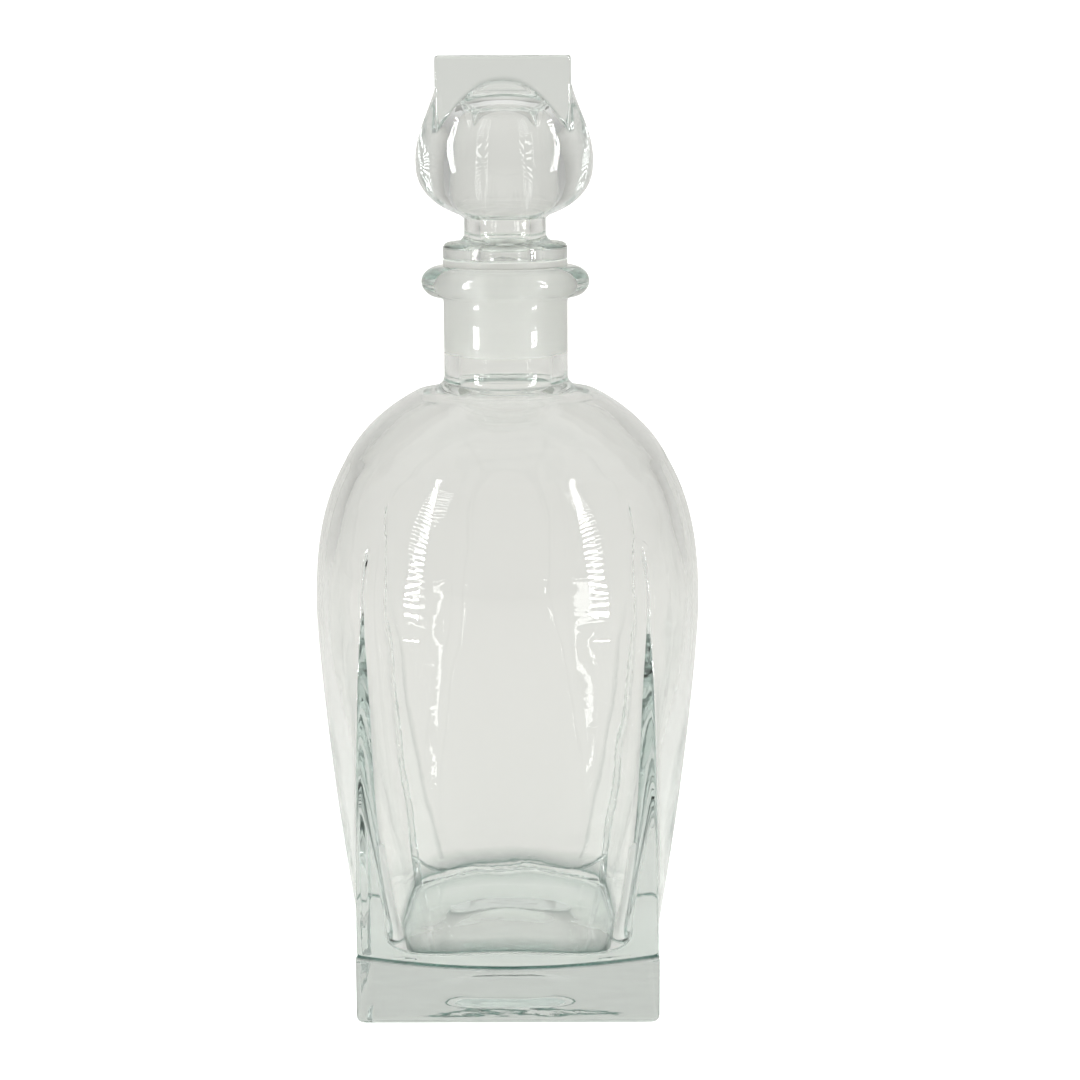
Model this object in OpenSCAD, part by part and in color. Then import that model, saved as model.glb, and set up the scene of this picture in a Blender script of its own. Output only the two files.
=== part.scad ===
// Square-footed glass decanter: a blown bottle, a hollow pressed stopper and the plastic
// seal between them. Millimetres, +Z up, origin at the centre of the foot on the table.

/* [Bottle] */
// Width of the square foot, flat to flat
foot_w = 82.8; // [82:0.2:84]
// Height of the solid foot block
foot_h = 19.9; // [18.5:0.1:21]
// Widest width of the bulging body
body_w = 108.2; // [107.6:0.2:109.2]
// Height at which the body is widest
belly_z = 108; // [107:0.5:109]
// Height of the bottle to the top of its lip
bottle_h = 203.5; // [202.5:0.1:204.5]
// Thickness of the glass at the belly
wall = 3.9; // [3.4:0.1:4.4]
// Thickness of the walls just above the foot
foot_wall = 8; // [7:0.2:9]

/* [Neck and lip] */
// Outer diameter of the neck
neck_d = 34.2; // [33.6:0.1:34.8]
// Diameter of the bore through the neck
bore_d = 26; // [25.4:0.1:26.4]
// Diameter of the rolled lip
lip_d = 46.2; // [45:0.2:48]
// Height of the rolled lip
lip_h = 8.4; // [7.6:0.1:9]

/* [Stopper] */
// Width of the square top of the stopper
head_w = 36.2; // [35.6:0.2:36.8]
// Widest width of the stopper's bulb
bulb_w = 48.4; // [47.8:0.2:49]
// Height from the table to the stopper's flat top
total_h = 260; // [259:0.5:262]
// Diameter of the stem under the bulb
stem_d = 22.4; // [21.8:0.1:23]
// Diameter of the collar that rests on the seal
collar_d = 34.2; // [33.4:0.2:35]

/* [Seal] */
// Thickness of the seal's flange
flange_t = 1.9; // [1.6:0.1:2.2]
// How far the seal reaches down the bore
seal_depth = 24.4; // [23:0.2:25.4]
// Wall of the seal, ribs left out
seal_wall = 1.2; // [1:0.05:1.3]
// Gap on the radius at each sliding fit
fit_gap = 0.05; // [0.03:0.01:0.08]

/* [Hidden] */
$fn = 96;

glass_tint = [0.84, 0.89, 0.87, 0.55];
seal_tint = [0.93, 0.93, 0.9];

bore_r = bore_d / 2;
neck_r = neck_d / 2;
body_r = body_w / 2;
foot_r = foot_w / 2;

// Every polyhedron ring has the same points: per eighth of a turn, some across the bulging
// panel and some across the flat facet beside the corner.
panel_steps = 4;
facet_steps = 3;

// ---- Shape of a ring ------------------------------------------------------------------------

// Radius of a superellipse of half width r and power p, towards angle a.
function squircle(r, p, a) = r * pow(pow(abs(cos(a)), p) + pow(abs(sin(a)), p), -1 / p);

// Angle at which a bulging panel of half width r sinks into a flat face at half width s.
function crease(r, p, s) = let (w = pow(max(pow(r, p) - pow(s, p), 0), 1 / p))
    min(max(atan(w / s), 6), 44.4);

// The angles of one ring, mirrored so that its creases fall on grid lines.
function eighth(c) = concat([for (i = [0 : panel_steps - 1]) c * i / panel_steps],
    [for (i = [0 : facet_steps - 1]) c + (45 - c) * i / facet_steps]);
function ring_angles(c) = let (e = eighth(c), back = [for (i = [len(e) - 1 : -1 : 1]) 90 - e[i]])
    [for (q = [0 : 3]) for (a = concat(e, [45], back)) 90 * q + a];
ring_n = 8 * (panel_steps + facet_steps);

// The larger of the panel and the flat-faced square, as one ring at height z.
corner_power = 70;
function blend_ring(z, r, p, s, c) = [for (a = ring_angles(c))
    let (d = max(squircle(r, p, a), s > 0 ? squircle(s, corner_power, a) : 0))
    [d * cos(a), d * sin(a), z]];

// A closed skin through a list of rings, from the first centre point to the last.
module skin(first, rings, last) {
    n = ring_n;
    m = len(rings);
    points = concat([first], [for (r = rings) each r], [last]);
    end = len(points) - 1;
    faces = concat(
        [for (j = [0 : n - 1]) [0, 1 + j, 1 + (j + 1) % n]],
        [for (i = [0 : m - 2]) for (j = [0 : n - 1])
            let (a = 1 + i * n + j, b = 1 + i * n + (j + 1) % n) each [[a, a + n, b], [b, a + n, b + n]]],
        [for (j = [0 : n - 1]) let (k = 1 + (m - 1) * n) [k + j, end, k + (j + 1) % n]]);
    polyhedron(points, faces, 8);
}

// Points of an arc in a profile, from angle a to angle b.
function arc(x, y, r, a, b, n = 6) = [for (i = [0 : n])
    let (t = a + (b - a) * i / n) [x + r * cos(t), y + r * sin(t)]];

// ---- Bottle ---------------------------------------------------------------------------------

shoulder_power = 2.61;
shoulder_rise = 66.9;
body_taper = 15.7;
body_sweep = 1.3;
hem_drop = 3.5;
hem_curl = 0.3;

// Half width across the middle of a panel: a slow sweep below the belly that curls in at its
// hem, and a soft dome above the belly.
function body_half(z) = z < belly_z
    ? body_r - body_taper * pow((belly_z - z) / belly_z, body_sweep)
        - hem_curl * pow(max(foot_h + 1.8 - z, 0) / (hem_drop + 1.8), 2)
    : body_r * sqrt(max(1 - pow((z - belly_z) / shoulder_rise, shoulder_power), 0));

// Squareness of the panels, which fades to a circle before the belly.
function body_power(z) = 2 + 2.4 * pow(max(1 - max(z - foot_h, 0) / 95, 0), 1.9);

// Half width of the flat corner facets, which lean in a little and sink into the body as a spire.
facet_step = 0.3;
facet_lean = 3.1;
spire_z = 128;
function facet_half(z) = z > spire_z + 6 ? 0
    : foot_r - facet_step - facet_lean * pow(max(z - foot_h, 0) / (spire_z - foot_h), 2.6)
        - 0.3 * pow(max(z - spire_z, 0) / 2, 2);

function body_ring(z) = let (r = body_half(z), p = body_power(z), s = facet_half(z))
    blend_ring(z, r, p, s, crease(r, p, s));

// The foot block: a shallow push-up under it and rounded edges all round.
foot_round = 2.4;
push_up = 0.8;
push_up_r = 22;
function foot_ring(z, inset) = let (s = foot_r - inset)
    blend_ring(z, s, corner_power, s, crease(body_half(foot_h), body_power(foot_h), facet_half(foot_h)));
function push_ring(k) = let (c = crease(body_half(foot_h), body_power(foot_h), facet_half(foot_h)))
    blend_ring(push_up * (1 + cos(180 * k)) / 2, push_up_r * (0.55 + 0.45 * k), 3.4, 0, c);
function hem_ring(z) = let (r = body_half(z), p = body_power(foot_h))
    blend_ring(z, r, p, foot_r, crease(r, p, foot_r));
foot_rings = concat([for (k = [0 : 0.25 : 1]) push_ring(k)],
    [for (a = [0 : 30 : 90]) foot_ring(foot_round * (1 - cos(a)), foot_round * (1 - sin(a)))],
    [for (k = [0, 0.12, 0.3, 0.6, 0.94]) hem_ring(foot_h - hem_drop * (1 - k))], [body_ring(foot_h)]);

// The cavity: a domed floor, a fillet, walls that thin upwards, and a dome to the bore.
cavity_r = body_r - wall;
cavity_rise = 62.7;
thick_z = 30;
floor_z = 22;
floor_dome_r = 180;
floor_fillet = 2;
function ease(t) = let (k = min(max(t, 0), 1)) k * k * (3 - 2 * k);
function wall_at(z) = foot_wall + (wall - foot_wall) * ease((z - thick_z) / (belly_z - 3 - thick_z));
function cavity_half(z) = z < belly_z
    ? body_half(max(z, foot_h)) - wall_at(z)
    : cavity_r * sqrt(max(1 - pow((z - belly_z) / cavity_rise, shoulder_power), 0));
function cavity_power(z) = 2 + 2 * pow(max(1 - max(z - foot_h, 0) / 85, 0), 1.6);

// A cavity ring, which hangs lower towards its corners near the domed floor.
wall_z = floor_z + floor_fillet;
function sag(d) = d * d / (2 * floor_dome_r);
function cavity_ring(z, inset, droop) = let (r = cavity_half(max(z, wall_z)) - inset, p = cavity_power(wall_z))
    [for (a = ring_angles(36)) let (d = squircle(r, z > wall_z ? cavity_power(z) : p, a))
        [d * cos(a), d * sin(a), z - droop * sag(d)]];
floor_rings = concat([for (k = [0.3, 0.6, 0.9]) cavity_ring(floor_z, (1 - k) * cavity_half(wall_z) + k * floor_fillet, 1)],
    [for (a = [30 : 30 : 90]) cavity_ring(floor_z + floor_fillet * (1 - cos(a)), floor_fillet * (1 - sin(a)), 1)]);

neck_base_z = belly_z + cavity_rise * pow(1 - pow(bore_r / cavity_r, 2), 1 / shoulder_power);
rim_z = 173.2;
shoulder_end = 169;
body_levels = concat([foot_h + 1.6, 24.5], [for (z = [29 : 6 : 149]) z], [154, 158.5, 162.5, 166, shoulder_end]);

// Fillet from the shoulder into the neck, which ends just inside the neck's wall.
function fillet_ring(k) = let (z = shoulder_end + (rim_z - 0.4 - shoulder_end) * (1 - cos(90 * k)))
    blend_ring(z, neck_r - 0.1 + (body_half(shoulder_end) - neck_r + 0.1) * (1 - sin(90 * k)), 2, 0, 40);
cavity_levels = concat([165.8, 162.8, 159, 154.5, 149, 142], [for (z = [135 : -9 : 36]) z], [31]);

module bottle_shell() {
    body_rings = concat([for (z = body_levels) body_ring(z)], [for (k = [0.25 : 0.25 : 1]) fillet_ring(k)]);
    rim = [blend_ring(rim_z, neck_r - 1, 2, 0, 40), blend_ring(rim_z, bore_r + 0.25, 2, 0, 36)];
    throat = [blend_ring(neck_base_z, bore_r + 0.25, 2, 0, 36)];
    inner = concat([for (z = cavity_levels) cavity_ring(z, 0, 0)], [for (i = [len(floor_rings) - 1 : -1 : 0]) floor_rings[i]]);
    skin([0, 0, push_up], concat(foot_rings, body_rings, rim, throat, inner), [0, 0, floor_z]);
}

// Neck and rolled lip, turned about the axis, with a true bore.
lip_r = lip_d / 2;
lip_land = 0.8;
module neck() {
    a = lip_r - neck_r;
    half = lip_h / 2;
    lip_mid = bottle_h - half;
    top = [for (i = [0 : 9]) let (t = 90 - 90 * i / 9) [neck_r + lip_land + (a - lip_land) * cos(t), lip_mid + half * sin(t)]];
    under = [for (i = [1 : 6]) let (t = -90 * i / 6) [neck_r + 1.5 + (a - 1.5) * cos(t), lip_mid + half * sin(t)]];
    cove = arc(neck_r + 1.5, lip_mid - half - 1.5, 1.5, 90, 180, 4);
    rotate_extrude() polygon(concat([[bore_r, neck_base_z + 0.6], [bore_r, bottle_h]], top, under, cove,
        [[neck_r, neck_base_z + 0.6]]));
}

module bottle() {
    color(glass_tint) union() {
        bottle_shell();
        neck();
    }
}

// ---- Stopper --------------------------------------------------------------------------------

head_s = head_w / 2;
bulb_r = bulb_w / 2;
bulb_z = total_h - 28;
bulb_up = 27;
bulb_down = 16.6;
bulb_curl = 2.44;
stem_r = stem_d / 2;
stem_bore_r = 6.8;
hollow_r = 15.8;
hollow_up = 17.1;
hollow_down = 15.6;
head_round = 0.9;

// Half width of the bulb: it sinks under the flat faces above and curls in to the stem below.
bulb_sink = 0.7;
function bulb_half(z) = z > bulb_z
    ? bulb_r - (bulb_r - head_s + bulb_sink) * (1 - cos(180 * min((z - bulb_z) / bulb_up, 1))) / 2
    : bulb_r * sqrt(1 - pow((bulb_z - z) / bulb_down, bulb_curl));
function bulb_power(z) = 2 + 0.75 * min(max((z - bulb_z + 14) / 20, 0), 1);

// The square head fades out below the tips of its corner facets.
function head_half(z) = z > bulb_z + 2 ? head_s : head_s - 0.12 * pow(bulb_z + 2 - z, 1.5);
function bulb_ring(z, inset = 0) = let (r = bulb_half(z) - inset, p = bulb_power(z), s = head_half(z) - inset)
    blend_ring(z, r, p, s, crease(max(r, s + 0.02), p, s));

// Half width of the round hollow inside the bulb.
function hollow_half(z) = z > bulb_z
    ? hollow_r * pow(1 - pow((z - bulb_z) / hollow_up, 3), 1 / 3)
    : hollow_r * sqrt(1 - pow((bulb_z - z) / hollow_down, 2.3));
function hollow_ring(z) = blend_ring(z, hollow_half(z), 2, 0, 36);

stem_top_z = bulb_z - bulb_down * pow(1 - pow(stem_r / bulb_r, 2), 1 / bulb_curl);
stem_in_z = bulb_z - hollow_down * pow(1 - pow(stem_bore_r / hollow_r, 2), 1 / 2.3);

module bulb_shell() {
    sunk = stem_top_z - 1.2;
    outer_levels = concat([stem_top_z + 0.3, stem_top_z + 1.6, stem_top_z + 3.4],
        [for (z = [bulb_z - 10 : 2.25 : total_h - 3]) z], [total_h - head_round]);
    outer = concat([blend_ring(sunk, stem_r - 0.6, 2, 0, 30)], [for (z = outer_levels) bulb_ring(z)],
        [for (a = [45, 90]) bulb_ring(total_h - head_round * (1 - sin(a)), head_round * (1 - cos(a)))]);
    inner_levels = [for (z = [stem_in_z + 0.8, stem_in_z + 3, bulb_z - 7, bulb_z - 3, bulb_z + 1,
        bulb_z + 5, bulb_z + 9, bulb_z + 12.3, bulb_z + 14.7, bulb_z + 16.2, bulb_z + 16.9]) z];
    inner = concat([blend_ring(sunk, stem_bore_r + 0.2, 2, 0, 36)], [for (z = inner_levels) hollow_ring(z)]);
    rings = concat([for (i = [len(inner) - 1 : -1 : 0]) inner[i]], outer);
    skin([0, 0, bulb_z + hollow_up], rings, [0, 0, total_h]);
}

collar_h = 4.6;
collar_z = bottle_h + flange_t;
collar_r = collar_d / 2;
plug_r = bore_r - fit_gap - seal_wall - 0.15 - fit_gap;
plug_end_z = bottle_h - seal_depth + 2.2;

// Stem, collar and hollow plug, turned about the axis.
module plug() {
    cove_r = 2.6;
    collar_top = collar_z + collar_h;
    outside = concat([[stem_r, stem_top_z + 0.8]], arc(stem_r + cove_r, collar_top + cove_r, cove_r, 180, 250, 5),
        arc(collar_r - 1.8, collar_top - 1.8, 1.8, 75, 0, 4), arc(collar_r - 0.5, collar_z + 0.5, 0.5, 0, -90, 2),
        [[plug_r, collar_z], [plug_r, plug_end_z + 1]], arc(plug_r - 1, plug_end_z + 1, 1, -20, -90, 3));
    inside = [[stem_bore_r + 1.2, plug_end_z], [stem_bore_r, plug_end_z + 6], [stem_bore_r, stem_top_z + 0.8]];
    rotate_extrude() polygon(concat(outside, inside));
}

module stopper() {
    color(glass_tint) union() {
        bulb_shell();
        plug();
    }
}

// ---- Seal -----------------------------------------------------------------------------------

rib_count = 5;
module stopper_seal() {
    sleeve_r = plug_r + fit_gap + seal_wall;
    rib_r = bore_r - fit_gap;
    low = bottle_h - seal_depth;
    pitch = (seal_depth - 4) / rib_count;
    // Ribs from the bottom up, each a shallow ridge on the sleeve.
    ribs = [for (i = [0 : rib_count - 1]) let (z = low + 3 + pitch * i)
        each [[sleeve_r, z - 1], [rib_r, z - 0.35], [rib_r, z + 0.35], [sleeve_r, z + 1]]];
    color(seal_tint) rotate_extrude() polygon(concat([[plug_r + fit_gap, low], [sleeve_r - 0.6, low], [sleeve_r, low + 0.8]],
        ribs, [[sleeve_r, bottle_h], [collar_r - 0.3, bottle_h], [collar_r, bottle_h + 0.3],
        [collar_r, collar_z - 0.3], [collar_r - 0.3, collar_z], [plug_r + fit_gap, collar_z]]));
}

bottle();
stopper();
stopper_seal();
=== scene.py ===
"""Square-footed glass decanter with a hollow glass stopper in a plastic seal, in the frame's
own axes, +Z up. The studio is in metres. The pieces' sizes are in millimetres and become
metres, times mm, when each mesh is made."""
import math

import bpy
import numpy as np
from mathutils import Euler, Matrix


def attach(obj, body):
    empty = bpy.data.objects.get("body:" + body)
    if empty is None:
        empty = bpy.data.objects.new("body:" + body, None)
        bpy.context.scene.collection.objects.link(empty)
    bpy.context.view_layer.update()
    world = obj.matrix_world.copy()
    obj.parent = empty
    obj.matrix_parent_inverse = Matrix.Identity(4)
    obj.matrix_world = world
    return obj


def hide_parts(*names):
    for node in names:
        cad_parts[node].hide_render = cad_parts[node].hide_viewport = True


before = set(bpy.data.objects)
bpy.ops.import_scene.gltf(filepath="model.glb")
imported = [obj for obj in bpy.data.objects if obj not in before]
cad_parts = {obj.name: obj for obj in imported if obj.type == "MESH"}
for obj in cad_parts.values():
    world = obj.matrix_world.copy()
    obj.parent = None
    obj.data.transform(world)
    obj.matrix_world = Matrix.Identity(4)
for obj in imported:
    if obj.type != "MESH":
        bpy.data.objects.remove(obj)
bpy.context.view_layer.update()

# ---- Studio -------------------------------------------------------------------------------
# A white paper sweep that runs from the table up behind the bottle, a pale grey room around
# it, two tall strips of small lamps in front, a broad soft box overhead and a wash of light
# on the paper behind.

scene = bpy.context.scene
scene.view_settings.view_transform = "Standard"
scene.view_settings.look = "None"
# Light crosses four glass walls and is turned back inside them, so its ways are long.
scene.cycles.max_bounces = 48
scene.cycles.transmission_bounces = 48
scene.cycles.transparent_max_bounces = 16
scene.cycles.glossy_bounces = 24
scene.cycles.caustics_reflective = True
scene.cycles.caustics_refractive = True
scene.cycles.sample_clamp_indirect = 6.0


def mesh_from_grid(name, x, y, z, first=None, last=None, closed_rows=False):
    """A surface through a grid of points whose rows are closed rings, counted anticlockwise
    from above. Neighbouring rings are joined by quads; a first or last point closes that end
    with a fan, and closed_rows joins the last ring to the first."""
    rows, columns = x.shape
    points = np.stack([x, y, z], axis=-1).reshape(-1, 3)
    row, column = np.meshgrid(np.arange(rows if closed_rows else rows - 1), np.arange(columns),
                              indexing="ij")
    above, beside = (row + 1) % rows, (column + 1) % columns
    quads = np.stack([row * columns + column, row * columns + beside,
                      above * columns + beside, above * columns + column], axis=-1).reshape(-1, 4)
    fans = []
    ring = np.arange(columns)
    if first is not None:
        points = np.vstack([points, first])
        fans.append(np.stack([np.full(columns, len(points) - 1), (ring + 1) % columns, ring],
                             axis=-1))
    if last is not None:
        points = np.vstack([points, last])
        end = (rows - 1) * columns
        fans.append(np.stack([end + ring, end + (ring + 1) % columns,
                              np.full(columns, len(points) - 1)], axis=-1))
    corners = np.concatenate([quads.ravel(), *[f.ravel() for f in fans]]).astype(np.int32)
    sizes = np.concatenate([np.full(len(quads), 4), *[np.full(len(f), 3) for f in fans]])
    starts = np.concatenate([[0], np.cumsum(sizes)[:-1]]).astype(np.int32)
    mesh = bpy.data.meshes.new(name)
    mesh.vertices.add(len(points))
    mesh.vertices.foreach_set("co", points.astype(np.float32).ravel())
    mesh.loops.add(len(corners))
    mesh.loops.foreach_set("vertex_index", corners)
    mesh.polygons.add(len(sizes))
    mesh.polygons.foreach_set("loop_start", starts)
    mesh.polygons.foreach_set("use_smooth", np.ones(len(sizes), bool))
    mesh.update(calc_edges=True)
    mesh.validate()
    made = bpy.data.objects.new(name, mesh)
    scene.collection.objects.link(made)
    return made


def sweep_paper():
    """Paper sheet: flat across its width, and along its length a level run, a quarter circle
    and an upright run."""
    half_width, front, bend_start, bend_r, top, drop = 3.0, -2.2, 1.0, 0.8, 3.2, 0.0003
    bend = np.linspace(0, math.pi / 2, 32)
    along = np.concatenate([[front], bend_start + bend_r * np.sin(bend), [bend_start + bend_r]])
    up = np.concatenate([[0], bend_r * (1 - np.cos(bend)), [top]])
    across = np.array([-half_width, half_width])
    points = np.array([[a, b, c - drop] for b, c in zip(along, up) for a in across])
    n = len(along)
    faces = [(2 * i, 2 * i + 1, 2 * i + 3, 2 * i + 2) for i in range(n - 1)]
    mesh = bpy.data.meshes.new("paper_sweep")
    mesh.from_pydata(points.tolist(), [], faces)
    mesh.polygons.foreach_set("use_smooth", np.ones(n - 1, bool))
    made = bpy.data.objects.new("paper_sweep", mesh)
    scene.collection.objects.link(made)
    return made


# Seen straight, the paper is near white and glows a little. Light that comes by way of the
# glass, or from paper to paper, meets a middle grey, which sets how pale the glass looks.
paper = sweep_paper()
paper_white = bpy.data.materials.new("paper_white")
paper_white.use_nodes = True
nodes, links = paper_white.node_tree.nodes, paper_white.node_tree.links
nodes.clear()
seen = nodes.new("ShaderNodeBsdfDiffuse")
seen.inputs["Color"].default_value = (0.93, 0.93, 0.93, 1)
glow = nodes.new("ShaderNodeEmission")
glow.inputs["Strength"].default_value = 0.3
bright = nodes.new("ShaderNodeAddShader")
passed = nodes.new("ShaderNodeBsdfDiffuse")
passed.inputs["Color"].default_value = (0.555, 0.555, 0.54, 1)
light_path = nodes.new("ShaderNodeLightPath")
paper_mix = nodes.new("ShaderNodeMixShader")
paper_out = nodes.new("ShaderNodeOutputMaterial")
links.new(light_path.outputs["Is Camera Ray"], paper_mix.inputs["Fac"])
links.new(passed.outputs["BSDF"], paper_mix.inputs[1])
links.new(seen.outputs["BSDF"], bright.inputs[0])
links.new(glow.outputs["Emission"], bright.inputs[1])
links.new(bright.outputs["Shader"], paper_mix.inputs[2])
links.new(paper_mix.outputs["Shader"], paper_out.inputs["Surface"])
paper.data.materials.append(paper_white)

# The room is a middle grey from the horizon down, pale grey overhead, and white to the eye.
room = bpy.data.worlds.new("grey_room")
room.use_nodes = True
nodes, links = room.node_tree.nodes, room.node_tree.links
sky_way = nodes.new("ShaderNodeTexCoord")
sky_parts = nodes.new("ShaderNodeSeparateXYZ")
sky_ramp = nodes.new("ShaderNodeValToRGB")
sky_ramp.color_ramp.interpolation = "EASE"
sky_ramp.color_ramp.elements[0].position, sky_ramp.color_ramp.elements[1].position = 0.45, 1.0
sky_ramp.color_ramp.elements[0].color = (0.46, 0.46, 0.45, 1)
sky_ramp.color_ramp.elements[1].color = (0.85, 0.85, 0.83, 1)
sky_up = nodes.new("ShaderNodeMapRange")
sky_up.inputs["From Min"].default_value = -1.0
sky_seen = nodes.new("ShaderNodeMixRGB")
sky_seen.inputs["Color2"].default_value = (1.0, 1.0, 1.0, 1)
sky_path = nodes.new("ShaderNodeLightPath")
links.new(sky_way.outputs["Generated"], sky_parts.inputs["Vector"])
links.new(sky_parts.outputs["Z"], sky_up.inputs["Value"])
links.new(sky_up.outputs["Result"], sky_ramp.inputs["Fac"])
links.new(sky_ramp.outputs["Color"], sky_seen.inputs["Color1"])
links.new(sky_path.outputs["Is Camera Ray"], sky_seen.inputs["Fac"])
links.new(sky_seen.outputs["Color"], nodes["Background"].inputs["Color"])
scene.world = room


def lamp(name, place, aim, size, watts):
    """Area lamp at place, turned to face the point aim."""
    data = bpy.data.lights.new(name, "AREA")
    data.shape = "RECTANGLE"
    data.size, data.size_y = size
    data.energy = watts
    made = bpy.data.objects.new(name, data)
    scene.collection.objects.link(made)
    made.location = place
    away = np.array(place) - np.array(aim)
    flat = math.hypot(away[0], away[1])
    made.rotation_euler = (math.atan2(flat, away[2]), 0, math.atan2(away[0], -away[1]))
    return made


overhead = lamp("overhead_box", (0, -0.3, 2.4), (0, 0.2, 0), (2.6, 2.6), 38)
back_wash = lamp("backdrop_wash", (0, 0.0, 2.2), (0, 1.8, 0.6), (2.6, 0.6), 20)
overhead.visible_glossy = back_wash.visible_glossy = False
overhead.visible_transmission = back_wash.visible_transmission = False
strip_turn, strip_range, strip_top, strip_lamps = math.radians(54), 0.62, 0.72, 30
for side in (-1, 1):
    turn = strip_turn * side
    for level in np.linspace(0.0, strip_top, strip_lamps):
        spot = (strip_range * math.sin(turn), -strip_range * math.cos(turn), float(level))
        strip = lamp("strip_lamp", spot, (0, 0, float(level)), (0.11, 0.008), 0.12)
        strip.visible_diffuse = False

camera_data = bpy.data.cameras.new("camera")
camera_data.sensor_width = 36
camera_data.lens = 83.4
camera_data.clip_start, camera_data.clip_end = 0.05, 20
camera = bpy.data.objects.new("camera", camera_data)
scene.collection.objects.link(camera)
eye_range, eye_height, eye_turn = 0.689, 0.2524, math.radians(1.1)
look_down, look_aside, roll = math.radians(10.33), math.radians(0.76), math.radians(0.3)
camera.location = (eye_range * math.sin(eye_turn), -eye_range * math.cos(eye_turn), eye_height)
look = Euler((math.pi / 2 - look_down, 0, eye_turn - look_aside)).to_quaternion()
camera.rotation_mode = "QUATERNION"
camera.rotation_quaternion = look @ Euler((0, 0, -roll)).to_quaternion()
scene.camera = camera

# ---- Bottle -------------------------------------------------------------------------------
# One piece of pale green soda-lime glass, blown in a mould and fire-polished: a solid square
# foot, flat corner facets that sink into the swelling body, eight soft panels that end in
# pointed arches on the shoulder, a neck with a rolled lip, and the cavity.

mm = 0.001
foot_half, foot_top, foot_edge = 41.4, 19.9, 2.4
facet_set_back, facet_end, groove_depth = 0.3, 134, 0.45
facet_lean, facet_lean_over = 3.1, 108.1
belly_half, belly_height, foot_narrowing, shoulder_rise = 54.1, 108.0, 15.7, 66.9
foot_squareness, round_over = 2.4, 95
push_up_height, push_up_half, push_up_power = 0.8, 22.0, 3.4
shoulder_end, neck_start = 169.0, 173.2
neck_half, bore_half, bore_low = 17.1, 13.0, 170.2
lip_half, lip_thick, bottle_top = 23.1, 8.4, 203.5
cove_r, mouth_r, lip_flat = 1.5, 0.7, 0.8
ridge_turn = math.radians(22.5)
columns_to_ridge, columns_to_crease, columns_to_corner = 13, 9, 8


def superellipse(half, power, turn):
    """Distance from the axis of a superellipse: its half width divided by the power mean of
    |cos| and |sin| of the turn."""
    c, s = np.abs(np.cos(turn)), np.abs(np.sin(turn))
    return half * (c ** power + s ** power) ** (-1 / power)


def body_half(z):
    """Half width of the body: under the belly it falls away as a power of the distance, and
    above the belly it is a flattened quarter ellipse."""
    under = belly_half - foot_narrowing * np.clip((belly_height - z) / belly_height, 0, 1) ** 1.3
    share = np.clip((z - belly_height) / shoulder_rise, 0, 1)
    over = belly_half * np.sqrt(np.clip(1 - share ** 2.61, 0, 1))
    return np.where(z < belly_height, under, over)


def body_power(z):
    """Squareness of the body, from nearly square at the foot to 2, a circle, before the belly."""
    left = np.clip(1 - np.clip(z - foot_top, 0, None) / round_over, 0, 1)
    return 2 + foot_squareness * left ** 1.9


def facet_half(z):
    """Half width between the flat sides that the corner facets belong to. They lean in as a
    power of the height, and faster near their end, above which they are inside the body."""
    rise = np.clip(z - foot_top, 0, None)
    lean = facet_lean * (rise / facet_lean_over) ** 2.6 + 0.3 * (np.clip(z - 128, 0, None) / 2) ** 2
    return np.where(z > facet_end, 1.0, foot_half - facet_set_back - lean)


def panel_relief(z, turn):
    """How far the eight shoulder panels lie inside the round body: a parabola across each
    panel, cut off along an arch that rises from the ridges to a point."""
    arch_foot, peak_on_side, peak_on_corner, deepest = 149.5, 161.0, 158.3, 0.62
    from_middle = np.abs((np.degrees(turn) + 22.5) % 45 - 22.5) / 22.5
    on_face = np.cos(4 * turn) > 0
    peak = np.where(on_face, peak_on_side, peak_on_corner)
    climb = 1 - (1 - np.clip((z - arch_foot) / (peak - arch_foot), 0, 1)) ** 2
    depth = deepest * np.clip((z - 45) / 60, 0, 1) ** 1.5
    depth = depth * np.where(on_face, 1, np.clip((z - 120) / 14, 0, 1))
    return depth * np.clip(1 - from_middle ** 2 - climb, 0, None)


def ring_turns(crease):
    """Turns of each ring's points. In an eighth of a turn they run from the middle of a panel
    to the ridge, then to the crease, then close up towards the corner, and are mirrored."""
    to_ridge = np.linspace(0, 1, columns_to_ridge, endpoint=False)[None, :]
    to_crease = np.linspace(0, 1, columns_to_crease, endpoint=False)[None, :]
    to_corner = 1 - (1 - np.linspace(0, 1, columns_to_corner + 1)[None, :]) ** 1.7
    eighth = np.hstack([ridge_turn * to_ridge + 0 * crease,
                        ridge_turn + (crease - ridge_turn) * to_crease,
                        crease + (math.pi / 4 - crease) * to_corner])
    quarter = np.hstack([eighth[:, :-1], (math.pi / 2 - eighth[:, ::-1])[:, :-1]])
    return np.hstack([quarter + q * math.pi / 2 for q in range(4)])


def crease_turn(curved, flat, least, most):
    """Turn at which a ring changes from its curved to its flat surface, read from both
    surfaces' distances on a fine set of turns and set between a least and a most."""
    turns = np.linspace(math.radians(least), math.radians(most), 700)[None, :]
    sunk = curved(turns) < flat(turns)
    at = np.where(sunk.any(axis=1), sunk.argmax(axis=1), turns.shape[1] - 1)
    return turns[0, at][:, None]


corner_power = 90.0
# Width and darkness of the painted shade along the crease where the corner facets meet the round
# body.
crease_wide, crease_painted_shade = 0.12, 0.4
body_z = np.concatenate([np.linspace(foot_top + 0.3, 60, 34), np.linspace(61.2, 140, 62),
                         np.linspace(141, shoulder_end, 28)])[:, None]


def round_body(turn):
    """Distance of the curved body from the axis: its superellipse less the panels' relief."""
    return superellipse(body_half(body_z), body_power(body_z), turn) - panel_relief(body_z, turn)


def flat_body(turn):
    """Distance of the flat facets from the axis: a superellipse that is nearly a square."""
    return superellipse(facet_half(body_z), corner_power, turn)


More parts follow.
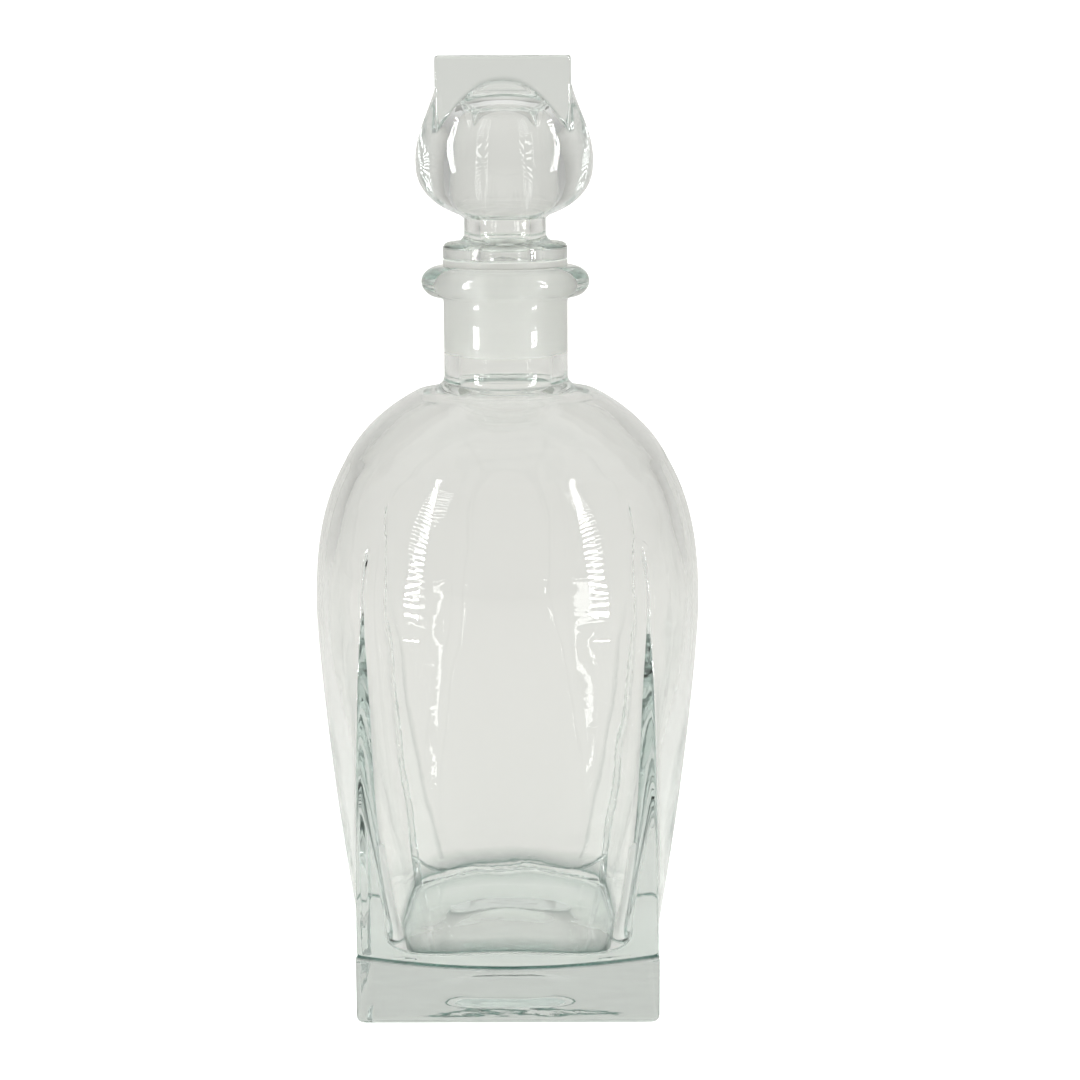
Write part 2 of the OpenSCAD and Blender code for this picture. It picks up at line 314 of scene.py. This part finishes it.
body_turn = ring_turns(crease_turn(round_body, flat_body, 23.5, 44.6))
body_far = np.maximum(round_body(body_turn), flat_body(body_turn))
from_crease = np.abs(round_body(body_turn) - flat_body(body_turn))
# Painted shade along that crease, full up to 75 mm and gone by 105 mm.
body_painted_shade = (crease_painted_shade * np.clip(1 - from_crease / crease_wide, 0, 1)
             * np.clip((105 - body_z) / 30, 0, 1))

# The hem, where the body ends on the foot: a pressed line that hangs in the middle of a side.
hem_drop, hem_line_wide = 3.3, 0.7
hem_z = np.linspace(foot_top - 4.4, foot_top + 0.1, 30)[:, None]
hem_turn = np.repeat(body_turn[:1], len(hem_z), axis=0)


def hem_line(turn):
    """Height of the line: a parabola across each side, lowest in the side's middle."""
    across = np.tan(np.abs((turn + math.pi / 4) % (math.pi / 2) - math.pi / 4))
    return foot_top - 0.4 - hem_drop * (1 - across ** 2)


above_line = hem_z - hem_line(hem_turn)
hem_flat = (foot_half - facet_set_back * (above_line > 0)
            - groove_depth * np.clip(1 - np.abs(above_line) / hem_line_wide, 0, 1))
hem_square = superellipse(hem_flat, corner_power, hem_turn)
facet_square = superellipse(foot_half - facet_set_back, corner_power, hem_turn)
hem_bulge = np.clip(body_far[:1] - facet_square, 0, None)
hem_share = np.clip(above_line / (body_z[0, 0] - hem_line(hem_turn)), 0, 1)
hem_far = hem_square + hem_bulge * np.sqrt(hem_share)
# Painted shade along the hem's pressed line, darkest on it and fading to nothing one line width
# either side.
hem_painted_shade = np.clip(1.6 - 1.6 * np.abs(above_line) / hem_line_wide, 0, 1)

# Under the foot: push-up, resting ring and rounded edge, then the foot's upright wall.
base_crease = np.full((1, 1), math.radians(33.7))
up_k = np.concatenate([np.linspace(0.1, 0.5, 5), np.linspace(0.55, 1, 14)])[:, None]
edge_a = np.radians(np.linspace(0, 90, 10))[:, None]
base_k = np.linspace(0.15, 0.95, 5)[:, None]
under_turn = ring_turns(base_crease)
push_far = superellipse(push_up_half * up_k, push_up_power, under_turn)
push_z = push_up_height * (1 + np.cos(math.pi * np.clip((up_k - 0.55) / 0.45, 0, 1))) / 2
ring_far = (superellipse(push_up_half, push_up_power, under_turn) * (1 - base_k)
            + superellipse(foot_half - foot_edge, corner_power, under_turn) * base_k)
edge_far = superellipse(foot_half - foot_edge * (1 - np.sin(edge_a)), corner_power, under_turn)
edge_z = foot_edge * (1 - np.cos(edge_a))
wall_z = np.linspace(3.4, foot_top - 4.9, 6)[:, None]
wall_far = superellipse(foot_half + 0 * wall_z, corner_power, under_turn)


# Shoulder fillet, neck, rolled lip and bore are turned shapes, given as rows of (radius, z).
def arc(middle, reach, start, end, count):
    """Points of (radius, z) on an ellipse's arc, from one turn in degrees to another."""
    a = np.radians(np.linspace(start, end, count))
    return np.stack([middle[0] + reach[0] * np.cos(a), middle[1] + reach[1] * np.sin(a)], axis=1)


def upright(half, start, end, count):
    """Points of (radius, z) on an upright wall of one radius."""
    return np.stack([np.full(count, half), np.linspace(start, end, count)], axis=1)


shoulder_half = body_half(shoulder_end)
fillet = arc((shoulder_half, neck_start), (neck_half - shoulder_half, shoulder_end - neck_start),
             90, 0, 12)[1:]
lip_middle, lip_reach = bottle_top - lip_thick / 2, lip_half - neck_half
under_cove = arc((neck_half + cove_r, lip_middle - lip_thick / 2 - cove_r), (cove_r, cove_r),
                 180, 90, 8)
lip_under = arc((neck_half + cove_r, lip_middle), (lip_reach - cove_r, lip_thick / 2),
                -90, 0, 14)[1:]
lip_over = arc((neck_half + lip_flat, lip_middle), (lip_reach - lip_flat, lip_thick / 2),
               0, 90, 14)[1:]
lip_mouth = arc((bore_half + mouth_r, bottle_top - mouth_r), (mouth_r, mouth_r), 90, 180, 7)
neck_wall = upright(neck_half, neck_start + 2, under_cove[0, 1] - 1, 8)
bore_wall = upright(bore_half, bottle_top - 3, bore_low, 12)
turned = np.concatenate([fillet, neck_wall, under_cove, lip_under, lip_over,
                         [[(neck_half + bore_half) / 2 + 0.5, bottle_top]], lip_mouth, bore_wall])

# Cavity, from the bore down to the floor.
cavity_half_most, cavity_rise, throat_low = 50.2, 62.7, 166.8
wall_at_foot, wall_lost, thin_from, thin_over = 8, 4.1, 30, 75
cavity_squareness, cavity_round_over = 2, 85
floor_height, floor_fillet, floor_dome_r = 22.0, 2.0, 180.0


def cavity_half(z):
    """Half width of the cavity: the body's less a wall that thins smoothly up to the belly,
    then a flattened quarter ellipse up to the bore."""
    thin = np.clip((z - thin_from) / thin_over, 0, 1)
    outside = body_half(np.maximum(z, foot_top))
    under = outside - wall_at_foot + wall_lost * thin ** 2 * (3 - 2 * thin)
    share = np.clip((z - belly_height) / cavity_rise, 0, 1)
    over = cavity_half_most * np.sqrt(np.clip(1 - share ** 2.61, 0, 1))
    return np.where(z < belly_height, under, over)


def cavity_power(z):
    """Squareness of the cavity, from 4, a soft square, at the foot to 2, a circle."""
    left = np.clip(1 - np.clip(z - foot_top, 0, None) / cavity_round_over, 0, 1)
    return 2 + cavity_squareness * left ** 1.6


def blown_ripple(z, turn):
    """Small unevenness of the free inner surface of blown glass, as a sum of slow waves
    around and along the body."""
    return (0.16 * np.sin(5 * turn + z / 9.0) * np.cos(z / 6.1 + 0.4)
            + 0.10 * np.sin(9 * turn - z / 5.3 + 1.1) + 0.07 * np.cos(14 * turn + z / 3.7)
            + 0.12 * np.sin(3 * turn + 0.6) * np.sin(z / 13.0))


inner_turn = ring_turns(np.full((1, 1), math.radians(36)))
throat = np.linspace(0, 1, 9)[1:, None]
throat_z = bore_low - (bore_low - throat_low) * throat
throat_far = (bore_half + (cavity_half(throat_low) - bore_half) * throat ** 1.8) + 0 * inner_turn
cavity_z = np.concatenate([np.linspace(165.9, 140, 24), np.linspace(138.5, 40, 56),
                           np.linspace(38.8, floor_height + floor_fillet + 0.4, 12)])[:, None]
ripple_deep = 0.12
ripple_share = np.clip((166 - cavity_z) / 10, 0, 1) * np.clip((cavity_z - 24) / 10, 0, 1)
cavity_far = (superellipse(cavity_half(cavity_z), cavity_power(cavity_z), inner_turn)
              + ripple_deep * ripple_share * blown_ripple(cavity_z, inner_turn))
fillet_top = floor_height + floor_fillet
floor_wall = superellipse(cavity_half(fillet_top), cavity_power(fillet_top), inner_turn)
floor_a = np.radians(np.linspace(90, 0, 13))[:, None]
corner_far = floor_wall * (1 - floor_fillet * (1 - np.sin(floor_a)) / floor_wall.min())
floor_k = np.concatenate([[0.985], np.linspace(0.94, 0.04, 14)])[:, None]
floor_far = corner_far[-1:] * floor_k


def floor_dip(far):
    """Drop of the domed floor: the square of the distance over twice the dome's radius."""
    return far ** 2 / (2 * floor_dome_r)


corner_z = floor_height + floor_fillet * (1 - np.cos(floor_a)) - floor_dip(corner_far)
floor_z = floor_height - floor_dip(floor_far)


def rows_of(far, z, turn):
    """Rings' distances, heights and turns, each spread over the rings' common grid."""
    shape = np.broadcast_shapes(np.shape(far), np.shape(z), np.shape(turn))
    return [np.broadcast_to(v, shape) for v in (far, z, turn)]


bottle_rows = {
    "push_up": rows_of(push_far, push_z, under_turn),
    "ring": rows_of(ring_far, np.zeros_like(base_k), under_turn),
    "edge": rows_of(edge_far, edge_z, under_turn),
    "foot": rows_of(wall_far, wall_z, under_turn),
    "hem": rows_of(hem_far, hem_z, hem_turn),
    "body": rows_of(body_far, body_z, body_turn),
    "neck": rows_of(turned[:, :1], turned[:, 1:], inner_turn),
    "throat": rows_of(throat_far, throat_z, inner_turn),
    "cavity": rows_of(cavity_far, cavity_z, inner_turn),
    "corner": rows_of(corner_far, corner_z, inner_turn),
    "floor": rows_of(floor_far, floor_z, inner_turn)}
far, high, turn = (np.vstack([r[i] for r in bottle_rows.values()]) for i in range(3))

# Painted shade, laid into the glass's colour along its pressed lines and tight bends, where thick
# glass looks dark: one value for each ring or point.
throat_painted_shade = np.array([0.5, 0.5] + [0.0] * 6)[:, None]
corner_painted_shade = np.array([0.8, 1.0, 0.8, 0.3] + [0.12] * 6 + [0.3, 0.45, 0.2])[:, None]
ring_painted_shades = {"hem": hem_painted_shade, "body": body_painted_shade, "throat": throat_painted_shade, "corner": corner_painted_shade}
mark = np.vstack([r[0] * 0 + ring_painted_shades.get(name, 0) for name, r in bottle_rows.items()])
bottle = mesh_from_grid("bottle_glass_body", far * np.cos(turn) * mm, far * np.sin(turn) * mm,
                        high * mm, first=[0, 0, push_up_height * mm], last=[0, 0, floor_height * mm])
bottle.data.set_sharp_from_angle(angle=math.radians(32))
painted_line_shade = bottle.data.attributes.new("painted_line_shade", "FLOAT", "POINT")
painted_line_shade.data.foreach_set("value", np.append(mark.ravel(), [0, 0]).astype(np.float32))

# Skin that the glass and the plastic share: slow waves, fine orange peel, a few small seeds
# and patches where it has been handled.
moulded_skin = bpy.data.node_groups.new("moulded_glass_skin", "ShaderNodeTree")
socket = moulded_skin.interface.new_socket
for label, value in (("Wave Size", 60.0), ("Wave Height", 1.0), ("Orange Peel", 0.3),
                     ("Seed Size", 260.0)):
    socket(label, in_out="INPUT", socket_type="NodeSocketFloat").default_value = value
for label in ("Height", "Handled"):
    socket(label, in_out="OUTPUT", socket_type="NodeSocketFloat")
nodes, links = moulded_skin.nodes, moulded_skin.links
group_in, group_out = nodes.new("NodeGroupInput"), nodes.new("NodeGroupOutput")
where = nodes.new("ShaderNodeTexCoord")
tall = nodes.new("ShaderNodeMapping")
tall.inputs["Scale"].default_value = (1.0, 1.0, 0.55)
waves = nodes.new("ShaderNodeTexNoise")
waves.inputs["Detail"].default_value = 1.5
peel = nodes.new("ShaderNodeTexNoise")
peel.inputs["Scale"].default_value = 420.0
peel.inputs["Detail"].default_value = 1.0
seeds = nodes.new("ShaderNodeTexVoronoi")
seed_edge = nodes.new("ShaderNodeMapRange")
seed_edge.inputs["From Min"].default_value = 0.0
seed_edge.inputs["From Max"].default_value = 0.09
seed_edge.inputs["To Min"].default_value = 1.0
seed_edge.inputs["To Max"].default_value = 0.0
handled = nodes.new("ShaderNodeTexNoise")
handled.inputs["Scale"].default_value = 38.0
handled.inputs["Detail"].default_value = 4.0
handled.inputs["Roughness"].default_value = 0.6


def scaled(value, by):
    """Product of a socket and a number or another socket."""
    node = nodes.new("ShaderNodeMath")
    node.operation = "MULTIPLY"
    links.new(value, node.inputs[0])
    if isinstance(by, float):
        node.inputs[1].default_value = by
    else:
        links.new(by, node.inputs[1])
    return node.outputs[0]


def added(one, other):
    """Sum of two sockets."""
    node = nodes.new("ShaderNodeMath")
    node.operation = "ADD"
    links.new(one, node.inputs[0])
    links.new(other, node.inputs[1])
    return node.outputs[0]


links.new(where.outputs["Object"], tall.inputs["Vector"])
links.new(tall.outputs["Vector"], waves.inputs["Vector"])
links.new(group_in.outputs["Wave Size"], waves.inputs["Scale"])
links.new(where.outputs["Object"], peel.inputs["Vector"])
links.new(where.outputs["Object"], seeds.inputs["Vector"])
links.new(group_in.outputs["Seed Size"], seeds.inputs["Scale"])
links.new(seeds.outputs["Distance"], seed_edge.inputs["Value"])
links.new(where.outputs["Object"], handled.inputs["Vector"])
relief = added(scaled(waves.outputs["Fac"], group_in.outputs["Wave Height"]),
               scaled(scaled(peel.outputs["Fac"], group_in.outputs["Orange Peel"]), 0.08))
relief = added(relief, scaled(seed_edge.outputs["Result"], 0.02))
links.new(relief, group_out.inputs["Height"])
links.new(handled.outputs["Fac"], group_out.inputs["Handled"])


def pale_green_glass(name, wave_size, wave_height, peel_height, bump_depth, roughest):
    """Soda-lime glass: clear, faintly rippled, a little less sharp where it has been handled,
    green by the length of the light's way through it, and with painted shade, a dark green base
    colour, along the pressed lines and tight bends that its point attribute marks. Lamps shine
    through it on to the paper."""
    made = bpy.data.materials.new(name)
    made.use_nodes = True
    nodes, links = made.node_tree.nodes, made.node_tree.links
    nodes.clear()
    skin = nodes.new("ShaderNodeGroup")
    skin.node_tree = moulded_skin
    skin.inputs["Wave Size"].default_value = wave_size
    skin.inputs["Wave Height"].default_value = wave_height
    skin.inputs["Orange Peel"].default_value = peel_height
    glass = nodes.new("ShaderNodeBsdfPrincipled")
    path, lit = nodes.new("ShaderNodeLightPath"), nodes.new("ShaderNodeMixShader")
    # Painted shade: the point attribute turns the base colour from near white to a dark green along
    # the pressed lines and tight bends.
    lines = nodes.new("ShaderNodeAttribute")
    lines.attribute_name = "painted_line_shade"
    shade = nodes.new("ShaderNodeValToRGB")
    shade.color_ramp.elements[0].color = (0.995, 0.995, 0.99, 1)
    shade.color_ramp.elements[1].color = (0.03, 0.10, 0.08, 1)
    links.new(lines.outputs["Fac"], shade.inputs["Fac"])
    links.new(shade.outputs["Color"], glass.inputs["Base Color"])
    glass.inputs["Metallic"].default_value = 0.0
    glass.inputs["Transmission Weight"].default_value = 1.0
    glass.inputs["IOR"].default_value = 1.51
    bump = nodes.new("ShaderNodeBump")
    bump.inputs["Strength"].default_value = 1.0
    bump.inputs["Distance"].default_value = bump_depth
    rub = nodes.new("ShaderNodeMapRange")
    rub.inputs["From Min"].default_value = 0.35
    rub.inputs["From Max"].default_value = 0.8
    rub.inputs["To Min"].default_value = 0.0
    rub.inputs["To Max"].default_value = roughest
    tint = nodes.new("ShaderNodeVolumeAbsorption")
    tint.inputs["Color"].default_value = (0.72, 0.80, 0.775, 1)
    tint.inputs["Density"].default_value = 8.0
    clear = nodes.new("ShaderNodeBsdfTransparent")
    clear.inputs["Color"].default_value = (0.93, 0.95, 0.94, 1)
    out = nodes.new("ShaderNodeOutputMaterial")
    links.new(skin.outputs["Height"], bump.inputs["Height"])
    links.new(bump.outputs["Normal"], glass.inputs["Normal"])
    links.new(skin.outputs["Handled"], rub.inputs["Value"])
    links.new(rub.outputs["Result"], glass.inputs["Roughness"])
    links.new(path.outputs["Is Shadow Ray"], lit.inputs["Fac"])
    links.new(glass.outputs["BSDF"], lit.inputs[1])
    links.new(clear.outputs["BSDF"], lit.inputs[2])
    links.new(lit.outputs["Shader"], out.inputs["Surface"])
    links.new(tint.outputs["Volume"], out.inputs["Volume"])
    return made


bottle.data.materials.append(pale_green_glass(
    "bottle_glass", wave_size=55.0, wave_height=1.0, peel_height=0.4, bump_depth=0.00025,
    roughest=0.012))
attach(bottle, "bottle")
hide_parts("bottle")

# ---- Seal ---------------------------------------------------------------------------------
# A translucent whitish polyethylene sleeve, injection moulded, with a flange on the lip and
# five soft ribs that grip the bore. It is pushed over the stopper's plug.

flange_thick, seal_reach, rib_count, rib_wide = 1.9, 24.4, 5, 1.2
seal_inside, sleeve_half, rib_half, flange_half = 11.6, 13.03, 13.06, 17.1
flange_r, foot_r, inner_r = 0.35, 0.6, 0.3
seal_low, seal_top = bottle_top - seal_reach, bottle_top + flange_thick


def seal_profile():
    """Outline of the seal, anticlockwise: down its inside, up its outside with a raised
    cosine for each rib, and round the flange."""
    z = np.linspace(seal_low + 0.7, bottle_top - 0.15, 110)
    pitch = (seal_reach - 4) / rib_count
    phase = (z - seal_low - 3) / pitch
    near = np.abs(phase - np.round(phase)) * pitch
    ribbed = (phase > -0.5) & (phase < rib_count - 0.5)
    rib = np.where(ribbed, 0.5 + 0.5 * np.cos(math.pi * np.clip(near / rib_wide, 0, 1)), 0)
    outside = np.stack([sleeve_half + (rib_half - sleeve_half) * rib, z], axis=1)
    foot = arc((sleeve_half - foot_r, seal_low + foot_r), (foot_r, foot_r), -90, 0, 5)
    low_edge = arc((flange_half - flange_r, bottle_top + flange_r), (flange_r, flange_r), -90, 0, 5)
    top_edge = arc((flange_half - flange_r, seal_top - flange_r), (flange_r, flange_r), 0, 90, 5)
    land = np.stack([np.linspace(flange_half - 1, seal_inside + inner_r, 6),
                     np.full(6, seal_top)], axis=1)
    inside = upright(seal_inside, seal_top - inner_r, seal_low + 0.2, 20)
    return np.concatenate([foot, outside, low_edge, top_edge, land, inside])


outline = seal_profile()
around = np.linspace(0, 2 * math.pi, 128, endpoint=False)[None, :]
seal = mesh_from_grid("seal_sleeve", outline[:, :1] * np.cos(around) * mm,
                      outline[:, :1] * np.sin(around) * mm, outline[:, 1:] * mm + 0 * around,
                      closed_rows=True)
seal.data.set_sharp_from_angle(angle=math.radians(40))

milky_plastic = bpy.data.materials.new("milky_plastic")
milky_plastic.use_nodes = True
nodes, links = milky_plastic.node_tree.nodes, milky_plastic.node_tree.links
nodes.clear()
plastic = nodes.new("ShaderNodeBsdfPrincipled")
plastic.inputs["IOR"].default_value = 1.5
plastic.inputs["Metallic"].default_value = 0.0
plastic.inputs["Transmission Weight"].default_value = 0.3
skin = nodes.new("ShaderNodeGroup")
skin.node_tree = moulded_skin
skin.inputs["Wave Size"].default_value = 90.0
skin.inputs["Orange Peel"].default_value = 1.0
cloud = nodes.new("ShaderNodeValToRGB")
cloud.color_ramp.elements[0].position, cloud.color_ramp.elements[1].position = 0.3, 0.75
cloud.color_ramp.elements[0].color = (0.93, 0.935, 0.90, 1)
cloud.color_ramp.elements[1].color = (0.98, 0.98, 0.955, 1)
dull = nodes.new("ShaderNodeMapRange")
dull.inputs["To Min"].default_value, dull.inputs["To Max"].default_value = 0.42, 0.6
bump = nodes.new("ShaderNodeBump")
bump.inputs["Distance"].default_value = 0.0002
out = nodes.new("ShaderNodeOutputMaterial")
links.new(skin.outputs["Handled"], cloud.inputs["Fac"])
links.new(cloud.outputs["Color"], plastic.inputs["Base Color"])
links.new(skin.outputs["Handled"], dull.inputs["Value"])
links.new(dull.outputs["Result"], plastic.inputs["Roughness"])
links.new(skin.outputs["Height"], bump.inputs["Height"])
links.new(bump.outputs["Normal"], plastic.inputs["Normal"])
links.new(plastic.outputs["BSDF"], out.inputs["Surface"])
seal.data.materials.append(milky_plastic)
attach(seal, "seal")
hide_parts("stopper_seal")

# ---- Stopper ------------------------------------------------------------------------------
# One piece of the same glass, pressed and blown: a solid square top whose flat sides end in
# arches where the round bulb swells out, a stem, a collar, and a plug open at its lower end.

head_half, head_edge, head_top, head_power = 18.1, 0.9, 260.0, 34.0
bulb_half_most, bulb_height, bulb_rise, bulb_drop = 24.2, 232.0, 27, 16.6
bulb_squareness, bulb_inset = 0.75, 0.7
# Depth and width of the arch's real groove, and the darkness of the painted shade laid along it.
arch_groove, arch_wide, arch_painted_shade = 0.2, 0.3, 0.5
stem_half, stem_bore, collar_half, collar_low, collar_high = 11.2, 6.8, 17.1, 205.4, 210.0
plug_half, plug_low, plug_flare = 11.55, 181.3, 1.2
collar_top_r, collar_edge_r, collar_cove_r = 1.8, 0.5, 2.6
hollow_half_most, hollow_rise, hollow_drop = 15.8, 17.1, 15.6
hollow_low, hollow_mouth = 218.6, 3.0


def bulb_half(z):
    """Half width of the bulb: half a wave down to just inside the flat sides above, and a
    flattened quarter ellipse down to the stem below."""
    up = np.clip((z - bulb_height) / bulb_rise, 0, 1)
    down = np.clip((bulb_height - z) / bulb_drop, 0, 1)
    loss = bulb_half_most - head_half + bulb_inset
    over = bulb_half_most - loss * (1 - np.cos(math.pi * up)) / 2
    under = bulb_half_most * np.sqrt(np.clip(1 - down ** 2.44, 0, 1))
    return np.where(z > bulb_height, over, under)


def bulb_power(z):
    """Squareness of the bulb, from 2, a circle, below its middle to 2.75 above it."""
    return 2 + bulb_squareness * np.clip((z - bulb_height + 14) / 20, 0, 1)


def side_half(z):
    """Half width between the flat sides, which draw in below the bulb's middle as a power."""
    return head_half - 0.12 * np.clip(bulb_height + 2 - z, 0, None) ** 1.5


def hollow_half(z):
    """Half width of the round hollow: flattened quarter ellipses above and below its middle."""
    over = (1 - np.clip((z - bulb_height) / hollow_rise, 0, 1) ** 3) ** (1 / 3)
    under = np.sqrt(1 - np.clip((bulb_height - z) / hollow_drop, 0, 1) ** 2.3)
    return hollow_half_most * np.where(z > bulb_height, over, under)


bulb_z = np.concatenate([np.linspace(217.4, 222, 14), np.linspace(222.6, 240, 28),
                         np.linspace(240.4, 254.6, 48),
                         np.linspace(255.3, head_top - head_edge, 8)])[:, None]


def round_bulb(turn):
    """Distance of the round bulb from the axis."""
    return superellipse(bulb_half(bulb_z), bulb_power(bulb_z), turn)


def flat_head(turn):
    """Distance of the square head's flat sides from the axis."""
    return superellipse(np.maximum(side_half(bulb_z), 1), head_power, turn)


def stopper_turns(crease):
    """Turns of the stopper's ring points: two runs in an eighth of a turn, from the middle of
    a side to the crease and from there, closing up, to the corner."""
    to_crease = np.linspace(0, 1, 20, endpoint=False)[None, :]
    to_corner = 1 - (1 - np.linspace(0, 1, 13)[None, :]) ** 1.7
    eighth = np.hstack([crease * to_crease, crease + (math.pi / 4 - crease) * to_corner])
    quarter = np.hstack([eighth[:, :-1], (math.pi / 2 - eighth[:, ::-1])[:, :-1]])
    return np.hstack([quarter + q * math.pi / 2 for q in range(4)])


bulb_turn = stopper_turns(crease_turn(round_bulb, flat_head, 1.2, 44.6))
proud = round_bulb(bulb_turn) - flat_head(bulb_turn)
pressed_in = np.clip(1 - np.abs(proud) / arch_wide, 0, 1)
bulb_far = np.maximum(round_bulb(bulb_turn), flat_head(bulb_turn)) - arch_groove * pressed_in
edge_a = np.radians(np.linspace(0, 90, 7))[1:, None]
top_turn = stopper_turns(np.full((1, 1), math.radians(20)))
top_edge_far = superellipse(head_half - head_edge * (1 - np.cos(edge_a)), head_power, top_turn)
top_edge_z = head_top - head_edge * (1 - np.sin(edge_a))
top_k = np.linspace(0.95, 0.08, 8)[:, None]
top_far = superellipse(head_half - head_edge, head_power, top_turn) * top_k

even_turn = stopper_turns(np.full((1, 1), math.radians(26)))
hollow_z = np.concatenate([bulb_height + hollow_rise * np.sin(np.linspace(1.45, 0, 22)),
                           np.linspace(bulb_height - 0.8, hollow_low, 20)])[:, None]
hollow_ripple = (0.04 * np.sin(3 * even_turn + hollow_z / 3)
                 * np.clip((246 - hollow_z) / 6, 0, 1) * np.clip((hollow_z - 222) / 4, 0, 1))
hollow_far = hollow_half(hollow_z) + hollow_ripple

# Turned rows down the inside from the hollow to the plug's open end, then up the outside.
hollow_end = hollow_half(hollow_low)
lower_mouth = arc((hollow_end, hollow_low - hollow_mouth), (stem_bore - hollow_end, hollow_mouth),
                  90, 0, 8)[1:]
bore_in = upright(stem_bore, 214.4, plug_low + 6, 10)
flare = np.stack([stem_bore + plug_flare * np.linspace(0.15, 1, 6) ** 2,
                  np.linspace(plug_low + 5, plug_low + 0.6, 6)], axis=1)
plug_end = arc((plug_half - 1, plug_low + 1), (1, 1), -90, 0, 7)
plug_wall = upright(plug_half, plug_low + 3, collar_low - 0.5, 8)
collar_under = arc((collar_half - collar_edge_r, collar_low + collar_edge_r),
                   (collar_edge_r, collar_edge_r), -90, 0, 5)
collar_over = arc((collar_half - collar_top_r, collar_high - collar_top_r),
                  (collar_top_r, collar_top_r), 0, 75, 8)
collar_cove = arc((stem_half + collar_cove_r, collar_high + collar_cove_r),
                  (collar_cove_r, collar_cove_r), 250, 180, 10)
stem_wall = upright(stem_half, collar_high + 3.4, 216.4, 4)
stem_rows = np.concatenate([lower_mouth, bore_in, flare, plug_end, plug_wall,
                            [[plug_half + 0.1, collar_low]], collar_under, collar_over,
                            collar_cove, stem_wall])
stopper_rows = [rows_of(hollow_far, hollow_z, even_turn),
                rows_of(stem_rows[:, :1], stem_rows[:, 1:], even_turn),
                rows_of(bulb_far, bulb_z, bulb_turn),
                rows_of(top_edge_far, top_edge_z, top_turn),
                rows_of(top_far, head_top, top_turn)]
far, high, turn = (np.vstack([r[i] for r in stopper_rows]) for i in range(3))
stopper = mesh_from_grid("stopper_glass_body", far * np.cos(turn) * mm, far * np.sin(turn) * mm,
                         high * mm, first=[0, 0, (bulb_height + hollow_rise) * mm],
                         last=[0, 0, head_top * mm])
stopper.data.set_sharp_from_angle(angle=math.radians(30))
bulb_start = len(hollow_z) + len(stem_rows)
# Painted shade along the arches, where the bulb's groove runs.
mark = np.zeros_like(far)
mark[bulb_start:bulb_start + len(bulb_z)] = arch_painted_shade * pressed_in
painted_line_shade = stopper.data.attributes.new("painted_line_shade", "FLOAT", "POINT")
painted_line_shade.data.foreach_set("value", np.append(mark.ravel(), [0, 0]).astype(np.float32))
stopper.data.materials.append(pale_green_glass(
    "stopper_glass", wave_size=95.0, wave_height=1.0, peel_height=0.4, bump_depth=0.0002,
    roughest=0.012))
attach(stopper, "stopper")
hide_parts("stopper")
